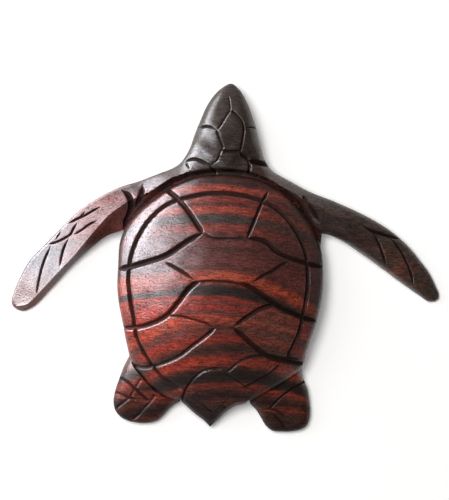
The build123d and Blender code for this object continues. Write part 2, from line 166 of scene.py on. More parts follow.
# Crest of the hind flippers: x on the left, x on the right, y, edge, crest and roundness.
HIND_CREST = [
    (-18.5, 18.5, -29, 3.4, 10.4, 5), (-21.5, 21.5, -34.5, 3.2, 9.6, 5),
    (-24, 24, -39.5, 3, 7.9, 4.5), (-26.3, 25.6, -44, 2.6, 6.1, 3.8),
    (-26.8, 25.8, -47.2, 2.2, 4.8, 3),
]
TAIL_ROOT_Y = -40.0  # where the tail's top takes over the dome's slope
TAIL_SLOPE = 0.86
TAIL_EDGE, TAIL_BEVEL = 4.2, 1.5  # height of the tail's outline, and width of its bevel
TAIL_ROUNDNESS, TAIL_LEAST = 2.4, 0.6  # of the bevel, and least that it rises

# Carved lines: width, depth, the length over which an end rises out, and the spots passed.
SHELL_LINES = [
    (2, 1.1, 2.5, [(-10.6, -36.2), (-14.4, -34.8), (-18.7, -32.2), (-21.9, -28.9), (-23.8, -26.4),
     (-26.8, -21.7), (-28.4, -18.3), (-29.6, -12.4), (-31, -6.2), (-32.1, 0.7), (-31.7, 9.1),
     (-29.6, 15.8), (-25.8, 22.3), (-19.8, 27.9), (-11.6, 31), (-2, 32.7), (7.9, 31.9),
     (17.8, 28.3), (24.5, 21.7), (28.8, 13.9), (30.2, 4.2), (29.5, -6.3), (28.9, -10.5),
     (27.9, -15.1), (26.4, -18.9), (24.9, -22.6), (24.4, -23.8)]),
    (1.9, 1.15, 3, [(-22.3, 34.4), (-20.8, 33.1), (-17.2, 30.5), (-12.7, 25.9), (-9.5, 21.6),
     (-6.6, 17.8)]),
    (1.1, 0.4, 2.5, [(-7.6, 18.9), (-3.5, 17), (2.4, 17.1), (8.3, 17.6)]),
    (1.4, 0.9, 3, [(14.9, 34.6), (12.5, 29.4), (10.1, 22.6), (8.1, 16.9)]),
    (2.3, 1.1, 5, [(-6.6, 18.7), (-12.5, 15.1), (-19.2, 10.1), (-26, 7.3), (-31.8, 5.3),
     (-36.4, 4.1)]),
    (2, 0.9, 5, [(7.3, 17.7), (14.6, 16.6), (19.4, 13), (24.4, 11.2), (30, 9.8), (35.8, 9)]),
    (1.3, 0.55, 4, [(-20.4, 7.9), (-16.2, 6.1), (-12.6, 4.2), (-8.6, 1.7)]),
    (1.5, 0.7, 5, [(24, 10.9), (20.2, 8.5), (17.6, 6.6), (14.3, 4.7), (10.3, 1.9)]),
    (1.2, 0.45, 2.5, [(-8.2, 1.5), (-3, 2), (3.2, 2), (9.2, 0.9)]),
    (2.1, 1.1, 3, [(-6.6, 1.9), (-9.2, 0.5), (-11.2, -1.6), (-14.4, -6.3), (-18.4, -11.1),
     (-23.8, -14.2), (-28.9, -15.7), (-33.2, -16.2)]),
    (2, 1, 5, [(5, 2.1), (9, 1.2), (13.9, -1.3), (19.3, -4.8), (24.7, -7.3), (30, -9.1),
     (34.4, -10)]),
    (1.2, 0.55, 3, [(-18.6, -10.9), (-14, -10.7), (-8.5, -11.6), (-4.5, -12.6), (-0.6, -14.6)]),
    (2, 1, 5, [(21, -4.6), (16.5, -5.7), (13, -7.4), (9.2, -10.3), (4.6, -13.9)]),
    (1.7, 0.9, 2.5, [(-0.6, -13.7), (-3.9, -16.9), (-8.2, -20.5), (-13.5, -25), (-17.6, -27.1),
     (-21.7, -28.8), (-25.9, -29.6), (-28.7, -28.9), (-30.8, -27.4)]),
    (2, 0.9, 4, [(4.6, -13.4), (8.5, -16.2), (13.4, -20.1), (18.1, -23), (24.3, -24.3),
     (29.2, -25), (31.5, -25.3)]),
    (1, 0.4, 2.5, [(17.4, -21.9), (21, -22.8), (25, -23.1), (29.1, -23.4)]),
    (1.4, 0.7, 2.5, [(2.6, -28.2), (-2, -28.5), (-4.1, -29.2), (-7.1, -31.6), (-9, -34.2),
     (-10.2, -36.6), (-11.6, -41.5)]),
    (1.1, 0.5, 1.5, [(-12.4, -35.6), (-10.2, -36.3), (-7.1, -37.7)]),
    (1.5, 0.6, 4, [(1.6, -29.6), (4.5, -28.6), (6.6, -26.6), (9, -24.8), (12, -23.4), (19, -23)]),
    (0.9, 0.3, 4, [(1.1, -29), (4.5, -30.1), (7.4, -31.6), (9.9, -33.4), (13.2, -35.5)]),
    (1.5, 0.7, 4, [(22.6, -24.4), (21.2, -26.4), (18.4, -29.3), (15.4, -31.2), (11.7, -33.5),
     (8.4, -34.6)]),
    (1, 0.3, 1, [(6.3, -36.9), (4.6, -38.5), (2.9, -40.6)]),
]
HEAD_LINES = [
    (0.7, 0.4, 1.5, [(-0.7, 66.6), (-0.3, 64.1), (0.2, 61.3)]),
    (1, 0.45, 1.5, [(0.4, 62.2), (-1.2, 59.6), (-2.6, 56.8), (-4.3, 54.2)]),
    (0.9, 0.5, 1.5, [(-4.5, 54.8), (-3.1, 51.4), (-1.9, 48.6), (-1.7, 46.9)]),
    (1, 0.8, 1.5, [(0, 61.9), (1.2, 61), (2.6, 59.8), (4.3, 58), (5.1, 55.1), (4.9, 51.6),
     (4.2, 46.5)]),
    (1.7, 0.7, 1.5, [(-2.2, 47.4), (1.1, 47.1), (4.6, 47.5)]),
    (1.4, 0.7, 3, [(-10.8, 54.9), (-8.8, 55.3), (-7.3, 55.4), (-4.3, 54.5)]),
    (1, 0.5, 3, [(4.9, 55.8), (7.3, 56), (9.9, 56)]),
    (0.8, 0.4, 1.5, [(-1.6, 48.4), (-2.7, 46.4), (-3.5, 43.9), (-4.5, 43.1), (-5.9, 41.8)]),
    (1, 0.5, 1.2, [(-6.3, 42.2), (-4.8, 40.6), (-3.4, 38.9)]),
    (1.4, 0.7, 1.5, [(4, 47.6), (4.9, 46), (6.6, 45.3), (7.8, 43), (7.2, 39.6)]),
    (1.4, 0.7, 4, [(-15.6, 42.6), (-13, 43.7), (-11.5, 44), (-8.5, 43.1), (-5.2, 42)]),
    (0.7, 0.4, 1.5, [(-14.9, 43.2), (-14, 41.8), (-12.7, 40.3)]),
    (2.2, 1.4, 3, [(6.6, 44.4), (8.8, 44.2), (11, 43.9), (14.6, 43.4)]),
]
SHOULDER_LINES = [
    (2.3, 1.7, 4, [(-36.2, 32), (-33.7, 30.1), (-32.6, 27.6), (-32.8, 24.6), (-33.9, 21.2),
     (-35.1, 18)]),
    (2, 1.4, 3, [(-28.9, 34), (-29.1, 32), (-29.4, 30.3), (-30, 28.2), (-31.3, 25.8)]),
    (1.6, 0.8, 2.5, [(24.6, 32), (26.5, 29.1), (27.6, 26.9)]),
    (1.8, 0.9, 3, [(28.6, 30.9), (30.8, 27.9), (33.4, 24.3)]),
]
LEFT_FLIPPER_LINES = [
    (1, 0.6, 2.5, [(-43.2, 25.7), (-46.2, 23.8), (-48.7, 22.2), (-51.2, 20.9), (-54.6, 19)]),
    (0.9, 0.4, 1.5, [(-48.4, 23.9), (-50.6, 20.9)]),
    (1, 0.6, 2.5, [(-43.9, 20.8), (-47.2, 18.9), (-49.4, 17.1), (-52.4, 15.2)]),
    (1, 0.6, 2.5, [(-50.9, 19.8), (-52.4, 17.3), (-53.1, 15.6), (-55, 14.1), (-57.8, 12.6),
     (-61.2, 11.4)]),
    (1, 0.6, 4, [(-53.6, 14.4), (-55.1, 11), (-55.9, 7.7), (-56.4, 3.4)]),
    (0.8, 0.35, 2, [(-56.5, 16.8), (-58.5, 13)]),
    (1, 0.6, 4, [(-59.8, 11.4), (-61.4, 7.4), (-62.5, 3.8), (-63.2, 0.3), (-63.7, -3),
     (-64.1, -7)]),
]
RIGHT_FLIPPER_LINES = [
    (1.5, 1, 5, [(47.8, 24.4), (50.6, 22.9), (55.9, 21.4), (62.4, 20.2)]),
    (1, 0.8, 3.5, [(51.6, 22.4), (52.9, 20.6), (54.5, 17.8), (55.8, 14.8), (57.4, 10.8)]),
    (1.1, 0.9, 4, [(58, 20.6), (61.6, 16.8), (63.8, 13.3), (65.6, 9.7), (67.4, 4.4)]),
]
LEFT_HIND_LINES = [
    (1.1, 0.42, 1, [(-25.7, -33.2), (-27.7, -36.9), (-29.5, -40.3), (-32.1, -42.7),
     (-35.6, -45.8)]),
    (1.1, 0.42, 1, [(-20.4, -38.4), (-21.9, -41.1), (-24.2, -43.7), (-26.2, -46.4), (-30, -49.4)]),
    (1.4, 0.7, 1.5, [(-34.6, -32.8), (-30.3, -35.1), (-27.7, -37.1), (-25.2, -39.2),
     (-22.2, -41.4)]),
    (1.3, 0.6, 1.5, [(-35.8, -38.4), (-32.1, -39.4), (-29.5, -40.4), (-26.4, -40.8)]),
]
RIGHT_HIND_LINES = [
    (0.9, 0.8, 2.5, [(33.5, -29.9), (27.2, -33.8), (23.6, -36.8), (18.6, -42.4)]),
    (1, 0.4, 2, [(17, -42.4), (19.1, -41.5), (22.1, -42), (25.4, -44.2)]),
    (1, 0.4, 2, [(20, -42.4), (23, -45.1), (26, -48.4)]),
]
TAIL_LINES = [
    (1.2, 0.5, 1.5, [(-11, -36.5), (-12.6, -42)]),
    (1, 0.3, 1, [(4.6, -38.5), (2.9, -40.6), (-0.1, -43.9)]),
    (1, 0.3, 1, [(0.3, -44), (-2.6, -41.9), (-4.9, -39.6)]),
]


def even_steps(points, count):
    """Spots at even steps along the straight runs between points, ends included."""
    points = np.asarray(points, float)
    run = norm(np.diff(points[:, :2], axis=0), axis=1)
    run = np.concatenate([[0], np.cumsum(run)])
    stops = np.linspace(0, run[-1], count)
    return np.stack([np.interp(stops, run, column) for column in points.T], axis=1)


def through(points, step, closed=False):
    """Close spots on a smooth curve through points: between two of them runs the cubic that
    has, at each, the direction of that point's two neighbours. In a closed curve the last
    spot is the first. Columns after the first two are carried along."""
    points = np.asarray(points, float)
    begin, end = 0, len(points) - 1
    if closed:
        begin, end = 3, 3 + len(points)
        points = np.concatenate([points[-3:], points, points[:4]])
    run = norm(np.diff(points[:, :2], axis=0), axis=1)
    run = np.concatenate([[0], np.cumsum(run)])
    count = max(int((run[end] - run[begin]) / step), 4) + 1
    stops = np.linspace(run[begin], run[end], count)
    first = np.clip(np.searchsorted(run, stops, side="right") - 1, 0, len(run) - 2)
    span = (run[first + 1] - run[first])[:, None]
    share = (stops - run[first])[:, None] / span
    slope = np.gradient(points, run, axis=0)
    leave, arrive = share * (1 - share) ** 2, share**2 * (1 - share)
    bend = span * (slope[first] * leave - slope[first + 1] * arrive)
    return points[first] + (points[first + 1] - points[first]) * ease(share) + bend


def smooth_line(points, spread, step=0.25, closed=False):
    """A curve through points with its corners worn: each spot is the mean of its neighbours,
    weighted by a bell curve. Past an end the curve is turned about it, so ends stay put."""
    line = through(points, step, closed)
    reach = min(int(3 * spread / step), len(line) - 2)
    if closed:
        line = np.concatenate([line[-reach - 1:-1], line, line[1:reach + 1]])
    else:
        before = 2 * line[0] - line[reach:0:-1]
        after = 2 * line[-1] - line[-2:-reach - 2:-1]
        line = np.concatenate([before, line, after])
    bell = np.exp(-0.5 * (np.arange(-reach, reach + 1) * step / spread) ** 2)
    bell /= bell.sum()
    return np.stack([np.convolve(column, bell, "valid") for column in line.T], axis=1)


def nearest_run(spots, line):
    """For each spot, the nearest point of a line of close points, and the line's direction
    there. Only the two straight runs beside the nearest of its points are tried."""
    feet, ways = np.empty_like(spots), np.empty_like(spots)
    for start in range(0, len(spots), 2000):
        block = spots[start:start + 2000]
        closest = ((block[:, None] - line[None]) ** 2).sum(axis=2).argmin(axis=1)
        least = np.full(len(block), np.inf)
        for first in (np.maximum(closest - 1, 0), np.minimum(closest, len(line) - 2)):
            begin = line[first]
            along = line[first + 1] - begin
            share = ((block - begin) * along).sum(axis=1) / (along**2).sum(axis=1)
            foot = begin + along * np.clip(share, 0, 1)[:, None]
            gap = norm(block - foot, axis=1)
            nearer = gap < least
            least[nearer] = gap[nearer]
            feet[start:start + 2000][nearer] = foot[nearer]
            ways[start:start + 2000][nearer] = along[nearer]
    return feet, ways / norm(ways, axis=1, keepdims=True)


def distance_to(spots, line):
    """Distance from each spot to a line of close points, in plan or in space."""
    flat = spots.reshape(-1, line.shape[1])
    return norm(flat - nearest_run(flat, line)[0], axis=1).reshape(spots.shape[:-1])


def reach_towards(spots, line):
    """How far from the middle a line that goes round it lies, in the direction of each spot."""
    turn = np.arctan2(line[:, 0], line[:, 1])
    order = np.argsort(turn)
    reach = norm(line[order, :2], axis=1)
    return np.interp(np.arctan2(*np.moveaxis(spots, -1, 0)), turn[order], reach, period=2 * pi)


def ease(share):
    """From 0 to 1 with a level start and end."""
    share = np.clip(share, 0, 1)
    return share * share * (3 - 2 * share)


def round_rise(share, roundness=2.0):
    """How far the wood has risen at a share of the way from edge to crest: upright at the
    edge, and the flatter near the crest the higher roundness is."""
    return np.sqrt(1 - (1 - np.clip(share, 0, 1)) ** roundness)


def tool_marks(x, y):
    """The slight unevenness that a carver's tools leave: the sum of four sine waves, each 5 to
    12 mm long and less than a tenth of a millimetre high, that run in different directions."""
    return (
        0.07 * np.sin(0.47 * x + 0.31 * y + 0.6)
        + 0.06 * np.sin(-0.29 * x + 0.55 * y + 2.1)
        + 0.05 * np.sin(0.83 * x - 0.37 * y + 4.0)
        + 0.04 * np.sin(0.41 * x + 1.07 * y + 1.3)
    )


def crest_values(spots, crest):
    """Underside, edge height, crest height and roundness at plan spots: the mean of those
    along the crest line, weighted by one over the sixth power of the distance."""
    flat = spots.reshape(-1, 2)
    gap = ((flat[:, None] - crest[None, :, :2]) ** 2).sum(axis=2) + 1
    weight = gap**-3
    values = weight @ crest[:, 2:] / weight.sum(axis=1)[:, None]
    return np.moveaxis(values.reshape(*spots.shape[:-1], 4), -1, 0)


def crest_distance(spots, crests):
    """Distance to the nearest of several crest lines, blended smoothly where they meet."""
    nearness = sum(np.maximum(distance_to(spots, crest[:, :2]), 1e-4) ** -3 for crest in crests)
    return nearness ** (-1 / 3)


front_edge = smooth_line(FRONT_EDGE, EDGE_WEAR)
rear_edge = smooth_line(LEFT_REAR_EDGE + VALLEY + RIGHT_REAR_EDGE, EDGE_WEAR)
left_crest, right_crest, spine = (
    smooth_line(crest, CREST_WEAR, step=0.5) for crest in (LEFT_CREST, RIGHT_CREST, SPINE)
)
ridge = np.concatenate([left_crest, right_crest[1:]])
body_crests = [ridge, spine]
body_crest_spots = np.concatenate(body_crests)[::2]
shell_edge = smooth_line(SHELL_EDGE, 1.0, closed=True)


def spot_at(line, axis, value, near):
    """The spot of a line where its x, for axis 0, or its y, for axis 1, has a value. Only its
    spots that are near are looked at."""
    part = line[near]
    order = np.argsort(part[:, axis])
    spot = np.full(2, float(value))
    spot[1 - axis] = np.interp(value, part[order, axis], part[order, 1 - axis])
    return spot


left_neck, right_neck = (
    spot_at(front_edge, 1, HEAD_CUT, (out > 0) & (out < NECK_REACH))
    for out in (-front_edge[:, 0], front_edge[:, 0])
)
left_joint, right_joint = (
    [spot_at(edge, 0, x, np.abs(edge[:, 0] - x) < JOINT_REACH)
     for edge, x in zip((front_edge, rear_edge), cut)] for cut in (LEFT_CUT, RIGHT_CUT)
)


def body_heights(spots, before_ridge):
    """Top and underside of the carved body at plan spots. Before the ridge the top rises from
    the front edge, and behind it from the rear edge or from the valley beside the shell. The
    share of the way is the distance to that low line over the sum of those to it and to the
    crest. A planed facet rises evenly with it, and a domed one as round_rise says."""
    under, edge, crest, roundness = crest_values(spots, body_crest_spots)
    to_crest = crest_distance(spots, body_crests)
    to_front = distance_to(spots, front_edge)
    to_rear = distance_to(spots, rear_edge)
    in_valley = ease((SHOULDER_END - np.abs(spots[..., 0])) / SHOULDER_FADE)
    low = np.where(before_ridge, edge, edge + (SEAT - edge) * in_valley)
    to_low = np.where(before_ridge, to_front, to_rear)
    share = to_low / (to_low + to_crest)
    facet = FACET_LIP * round_rise(to_low / LIP_WIDTH) + (1 - FACET_LIP) * share
    planed = ease((DOMED_FROM - roundness) / DOMED_OVER)
    rise = round_rise(share, roundness)
    rise += (facet - rise) * planed
    top = low + (crest - low) * rise + tool_marks(*np.moveaxis(spots, -1, 0)) * rise
    outside = np.minimum(to_front, to_rear)
    bottom = edge - (edge - under) * round_rise(outside / LIMB_UNDERCUT)
    return top, bottom


def hind_heights(spots, to_edge):
    """Top and underside of a hind flipper at plan spots: a rounded roof between its edges."""
    under, edge, crest, roundness = crest_values(spots, hind_crest)
    to_crest = distance_to(spots, hind_crest[:, :2])
    rise = round_rise(to_edge / (to_edge + to_crest), roundness)
    top = edge + (crest - edge) * rise + tool_marks(*np.moveaxis(spots, -1, 0)) * rise
    bottom = edge - (edge - under) * round_rise(to_edge / PADDLE_UNDERCUT)
    return top, bottom


def tail_heights(spots, to_edge):
    """Top and underside of the tail at plan spots. Its top runs on from the height of the dome
    at the shell's rear edge, at one slope, and is bevelled round to its outline."""
    x, y = np.moveaxis(spots, -1, 0)
    at_root = dome_ellipsoid(x, np.maximum(y, TAIL_ROOT_Y))
    slope = at_root - TAIL_SLOPE * np.maximum(TAIL_ROOT_Y - y, 0) + SOFTENED * tool_marks(x, y)
    rise = round_rise(to_edge / TAIL_BEVEL, TAIL_ROUNDNESS)
    top = TAIL_EDGE + np.maximum(slope - TAIL_EDGE, TAIL_LEAST) * rise
    bottom = TAIL_EDGE * (1 - round_rise(to_edge / PADDLE_UNDERCUT))
    return top, bottom


def dome_ellipsoid(x, y):
    """Height of the shell's ellipsoid over x and y: its centre's, plus its height times the
    root of one less the squares of x and y over the half width and half length."""
    left = 1 - (x / DOME_HALF_WIDTH) ** 2 - (y / DOME_HALF_LENGTH) ** 2
    return DOME_CENTRE + DOME_HEIGHT * np.sqrt(left)


def dome_height(spots):
    """Top of the shell at plan spots: the ellipsoid, rounded over along the shell's edge
    except where the tail carries it on."""
    x, y = np.moveaxis(spots, -1, 0)
    at_tail = ease((JOIN_HALF_WIDTH - np.abs(x)) / JOIN_FADE) * ease((-y - JOIN_START) / JOIN_FADE)
    radius = SHELL_EDGE_ROUND * (1 - JOIN_SHARPNESS * at_tail)
    rounding = radius * (1 - round_rise(distance_to(spots, shell_edge) / radius))
    return dome_ellipsoid(x, y) - rounding + SOFTENED * tool_marks(x, y)


def carve(surface, lines):
    """Presses carved lines into a grid of points along its normals. A line lies on the nearest
    points of the surface. Across it the cut is a V with worn lips, whose wall nearer the tail
    is the flatter one where the line runs across the body, because the knife was held
    slanted. Towards its ends the V grows narrow and shallow. Returns the points and cuts."""
    along, across = np.gradient(surface, axis=0), np.gradient(surface, axis=1)
    normal = np.cross(along, across)
    normal /= np.maximum(norm(normal, axis=-1, keepdims=True), 1e-9)
    normal *= np.sign(normal[..., 2:] + 1e-9)
    flat, flat_normal = surface.reshape(-1, 3), normal.reshape(-1, 3)
    cut = np.zeros(len(flat))
    for width, depth, taper, spots in lines:
        line = smooth_line(spots, 0.3, step=0.3)
        low, high = line.min(axis=0) - width, line.max(axis=0) + width
        close = np.flatnonzero(((flat[:, :2] > low) & (flat[:, :2] < high)).all(axis=1))
        close = close[distance_to(flat[close, :2], line[::4]) < 2 * width]
        if not len(close):
            continue
        near = flat[close]
        nearest = ((line[:, None] - near[None, :, :2]) ** 2).sum(axis=2).argmin(axis=1)
        laid = np.column_stack([line, smooth_heights(near[nearest][:, 2])])
        feet, ways = nearest_run(near, laid)
        offset = near - feet
        headwards = np.cross(flat_normal[close], ways)
        headwards /= np.maximum(norm(headwards, axis=1, keepdims=True), 1e-9)
        headwards *= np.sign(headwards[:, 1:2] + 1e-9)
        side = (offset * headwards).sum(axis=1)
        past_end = np.abs((offset * ways).sum(axis=1))
        ends = np.minimum(
            norm(near - laid[0], axis=1), norm(near - laid[-1], axis=1)
        )
        grown = ease(END_START + (1 - END_START) * ends / taper)
        size = LINE_END + (1 - LINE_END) * grown
        half = size * width / 2
        bottom = KNIFE_SLANT * headwards[:, 1] ** 2 * half
        wall = np.where(
            side < bottom, (side + half) / (half + bottom), (half - side) / (half - bottom)
        )
        groove = np.maximum(wall - past_end / half, 0)
        from_line = norm(offset, axis=1) / (WORN_LIP_WIDTH * width)
        lips = WORN_LIP * np.exp(-(from_line**2))
        cut[close] = np.maximum(cut[close], depth * size * (groove + lips))
    cut = cut.reshape(surface.shape[:-1])
    return surface - normal * cut[..., None], cut


def smooth_heights(heights):
    """A row of heights with each set to the mean of its five neighbours."""
    padded = np.pad(heights, 2, mode="edge")
    return np.convolve(padded, np.full(5, 0.2), "valid")


def grid_border(rows, columns):
    """Numbers of the points round a grid, with the first one again at the end."""
    number = np.arange(rows * columns).reshape(rows, columns)
    return np.concatenate([number[0], number[1:, -1], number[-1, -2::-1], number[-2::-1, 0]])


def grid_faces(rows, columns, closed=False):
    """Corner numbers of the quads between rows and columns of points."""
    row = np.arange(rows - 1)[:, None] * columns
    column = np.arange(columns if closed else columns - 1)[None, :]
    after = (column + 1) % columns
    corners = [row + column, row + after, row + columns + after, row + columns + column]
    return np.stack(corners, axis=-1).reshape(-1, 4)


def add_piece(name, points, faces, cut, node):
    """A closed piece of wood from points in millimetres. Points that meet are made one."""
    mesh = bpy.data.meshes.new(name)
    mesh.from_pydata((points * METRE).tolist(), [], faces)
    worn = mesh.attributes.new("cut_depth", "FLOAT", "POINT")
    worn.data.foreach_set("value", cut.astype(np.float32).ravel())
    joined = bmesh.new()
    joined.from_mesh(mesh)
    bmesh.ops.remove_doubles(joined, verts=joined.verts, dist=0.002 * METRE)
    bmesh.ops.recalc_face_normals(joined, faces=joined.faces)
    joined.to_mesh(mesh)
    joined.free()
    mesh.shade_smooth()
    mesh.set_sharp_from_angle(angle=radians(40))
    piece = bpy.data.objects.new(name, mesh)
    bpy.context.scene.collection.objects.link(piece)
    mesh.materials.append(wood)
    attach(piece, "root")
    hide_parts(node)


def add_two_skins(name, spots, top, bottom, lines, ring, node):
    """A piece between a top and an underside over the same plan grid, closed along its border.
    In a ring the grid's columns meet, and only its first row is a border."""
    rows, columns = top.shape
    upper, cut = carve(np.dstack([spots, top]), lines)
    lower = np.dstack([spots, bottom])
    count = rows * columns
    sheet = grid_faces(rows, columns, closed=ring)
    border = np.append(np.arange(columns), 0) if ring else grid_border(rows, columns)
    walls = np.column_stack([border[:-1], border[1:], border[1:] + count, border[:-1] + count])
    points = np.concatenate([upper.reshape(-1, 3), lower.reshape(-1, 3)])
    faces = np.concatenate([sheet, sheet[:, ::-1] + count, walls])
    depth = np.concatenate([cut.ravel(), np.zeros(count)])
    add_piece(name, points, faces.tolist(), depth, node)


def cross_rows(first, last, count):
    """Plan spots from one line to another, close together near the first: the share of the
    way is one less the cosine of an even step of a right angle."""
    share = 1 - np.cos(np.linspace(0, pi / 2, count))
    return first[:, None] + (last - first)[:, None] * share[None, :, None]


TONES = {
    "flame": (0.29, 0.045, 0.022),
    "amber": (0.235, 0.04, 0.019),
    "russet": (0.18, 0.029, 0.017),
    "ember": (0.18, 0.021, 0.012),
    "plum": (0.1, 0.024, 0.02),
    "umber": (0.065, 0.018, 0.013),
    # rose and lilac are the tones of painted glare, olive of painted shade and dusk of a painted
    # haze.
    "rose": (0.08, 0.049, 0.049),
    "lilac": (0.06, 0.056, 0.064),
    "olive": (0.062, 0.044, 0.033),
    "dusk": (0.15, 0.066, 0.05),
    "smoke": (0.036, 0.027, 0.021),
    "walnut": (0.034, 0.023, 0.017),
    "bark": (0.021, 0.011, 0.008),
    "coal": (0.012, 0.0075, 0.0055),
    "pore": (0.014, 0.006, 0.005),
    "cut": (0.014, 0.006, 0.004),
}
# Growth bands from the tail to the head: millimetres along the block, and the tone there.
REAR_BANDS = [
    (-52, "bark"), (-47.3, "umber"), (-45.6, "russet"), (-43.8, "coal"), (-42.2, "umber"),
    (-40.6, "russet"), (-39.6, "bark"), (-38, "coal"), (-36.3, "bark"), (-34.5, "russet"),
    (-33, "ember"), (-31.8, "umber"), (-30.6, "bark"), (-29.2, "umber"), (-27.2, "ember"),
    (-25.4, "plum"), (-23.6, "umber"), (-21.2, "amber"), (-19.4, "plum"), (-17.2, "ember"),
    (-15.6, "plum"), (-14.2, "ember"), (-12.8, "bark"), (-11.3, "coal"), (-10, "bark"),
    (-8.6, "russet"), (-7, "flame"), (-5.2, "amber"), (-3.8, "umber"), (-2, "plum"), (0, "plum"),
]
FRONT_BANDS = [
    (0, "plum"), (3.5, "umber"), (5.5, "plum"), (7.4, "umber"), (9.4, "plum"), (11.6, "russet"),
    (13.3, "plum"), (14.6, "smoke"), (16.6, "smoke"), (17.8, "russet"), (19.4, "flame"),
    (20.6, "russet"), (21.4, "umber"), (22.8, "ember"), (24, "russet"), (25.6, "umber"),
    (26.6, "russet"), (28.2, "flame"), (29.4, "russet"), (30.6, "bark"), (33, "umber"),
    (36, "walnut"), (60, "walnut"),
]
BAND_DROOP = 0.0026  # how the bands fall away to the sides, over the square of the distance
BAND_SLUMP = 0.003  # how those over the shell tilt tailwards on the right, over the same
BAND_TWIST = 0.11  # how far those behind turn headwards, for each millimetre to the right
BAND_LEAN = 0.42  # how far a band lies nearer the head for each millimetre of height
BAND_WANDER, BAND_RIPPLE = 3.0, 1.8  # how far the bands stray, slowly and closely, in all

# Patches where the wood departs from its bands, and patches of painted light: painted shade
# on the right of the shell, on the right front flipper and on the left front flipper's rear
# facet, painted glare and a painted red sheen on the left, and a painted haze on the shell's
# right rear. Each patch is the product of its fades, which run from none to all of it between
# two places: along x or y, along the growth bands ("band"), away from the spine to both sides
# ("aside"), or tailwards from the line along the left front flipper's ridge ("behind_ridge").
# Where a tone and a share come first, that much of the tone is laid over what lies there, in
# the order of the table.
SHELL_TONE_AND_PAINTED_LIGHT_PATCHES = [
    # Painted shade: the right front of the shell darkened, away from the light.
    ("smoke", 0.5, [("x", 13, 24), ("y", 7, 15)]),
    # Painted reflection: a pinkish-grey haze on the right rear of the shell.
    ("dusk", 0.4, [("x", 8, 16), ("x", 28, 22), ("y", -3, -9), ("y", -26, -18)]),
    ("russet", 0.75, [("x", -12, -24), ("band", -11.7, -10.7), ("band", -7, -8.5)]),
    # Painted shade: more of the right front of the shell darkened to umber.
    ("umber", 0.45, [("x", 4, 15), ("y", 3, 14)]),
    # Painted shade: the right front by the shoulder darkened to walnut.
    ("walnut", 0.85, [("x", 20, 29), ("band", 20.5, 24.5)]),
    # Painted shade: the right front flipper darkened to walnut.
    ("walnut", 0.7, [("x", 36, 46), ("band", 20.3, 18.5)]),
    # Painted shade: the right shoulder and front flipper dulled to a grey olive, away from the
    # light.
    ("olive", 0.4, [("x", 33, 38)]),
    # Painted shade: the shell's right border and the right front flipper's root facet, darkened to
    # bark where shade falls.
    ("bark", 0.8, [("x", 29.5, 34), ("x", 56, 43), ("y", -22, -12), ("band", 27, 24)]),
]
# Painted glare: on the left of the shell's front and over the left front flipper the wood is made
# paler and rose, where the lamps' reflection falls.
PAINTED_GLARE_PATCHES = [[("x", -10, -26), ("y", -4, 4)], [("x", -38, -46)]]
LEFT_FLIPPER_TONE_AND_PAINTED_LIGHT_PATCHES = [
    ("russet", 0.4, [("x", -34, -38), ("x", -60, -46)]),
    # Painted glare: the far end of the left front flipper greyed to lilac.
    ("lilac", 0.6, [("x", -50, -60)]),
    # Painted shade: the rear facet behind the ridge darkened to umber, as it faces away from the
    # light.
    ("umber", 0.85, [("behind_ridge", 0.3, 1.3), ("x", -36, -40)]),
]
# Painted sheen: the left rear of the shell made redder, as light from the left would make it.
PAINTED_SHEEN_PATCH = [("x", 6, -16), ("y", 3, -5), ("y", -35, -28)]
REAR_PATCHES = [
    ("coal", 0.9, [("y", -37.5, -41.5), ("aside", 15, 11)]),
    ("smoke", 0.7, [("x", -24, -28), ("y", -25, -28), ("y", -35.5, -33.5)]),
    ("russet", 0.75, [("x", -13, -17), ("y", -37, -38), ("y", -42.5, -41)]),
    ("bark", 0.6, [("y", -38.5, -43.5), ("aside", 11, 15)]),
]
ROUGH_CUT_PATCHES = [[("y", -2, 4), ("y", 46, 42)], [("x", 0, 12)]]  # cuts left unpolished
MATT_PATCHES = [
    (0.75, [("y", -29, -35)]), (0.4, [("y", 53, 60)]),
    (0.5, [("behind_ridge", 0.3, 1.3), ("x", -36, -40)]),
]
SLUMP_FADES = [("y", -14, -8), ("y", 12, 4), ("x", -44, -37)]
TWIST_FADE = [("y", -8, -18)]
SMOOTH_TIP = [("x", -44, -58)]  # the far end of the left front flipper, where few pores show
RIDGE_SLOPE, RIDGE_START = 1.165, 68.5  # y of the flipper's ridge for each x, and where x is 0

# Painted glare: share of rose laid on the glare patches.
PAINTED_GLARE_SHARE = 0.68
PAINTED_GLARE_CALM = 0.6  # share of the streaks and mottle that the painted glare calms away
# How much redder the painted sheen makes the wood, in red, green and blue.
PAINTED_SHEEN_GAIN = (1.9, 1.3, 0.95)
FINE_STREAKS, BROAD_STREAKS = (0.54, 0.64, 0.5), (0.56, 0.68, 0.4)  # from, to, share of bark
MOTTLE_FROM, MOTTLE_TO = 0.4, 0.6
LIGHT_GAIN, DULL_GAIN = (1.65, 1.6, 1.55), (0.7, 0.68, 0.68)
PORES_FROM, PORES_TO, PORE_SHARE, FILLED_PORES = 0.55, 0.63, 0.7, 0.6
CUT_FROM, CUT_TO, CUT_SHARE = 0.12, 0.45, 0.85  # millimetres deep, and share of the cut's tone
ROUGH_CUT_GAIN = 1.2  # how much darker an unpolished cut counts
ROUGHNESS, ROUGHNESS_SPREAD, PORE_ROUGHNESS = 0.5, 0.2, 0.35
PORE_MATT, CUT_MATT = 0.7, 0.95  # share of the polish that pores and cuts lack
FIBRE_SHIMMER = 0.3  # share of the light that the fibres send back in the wood's own colour
GRAIN_STRENGTH, GRAIN_HEIGHT = 0.5, 0.16  # of the grain's bump, and its millimetres


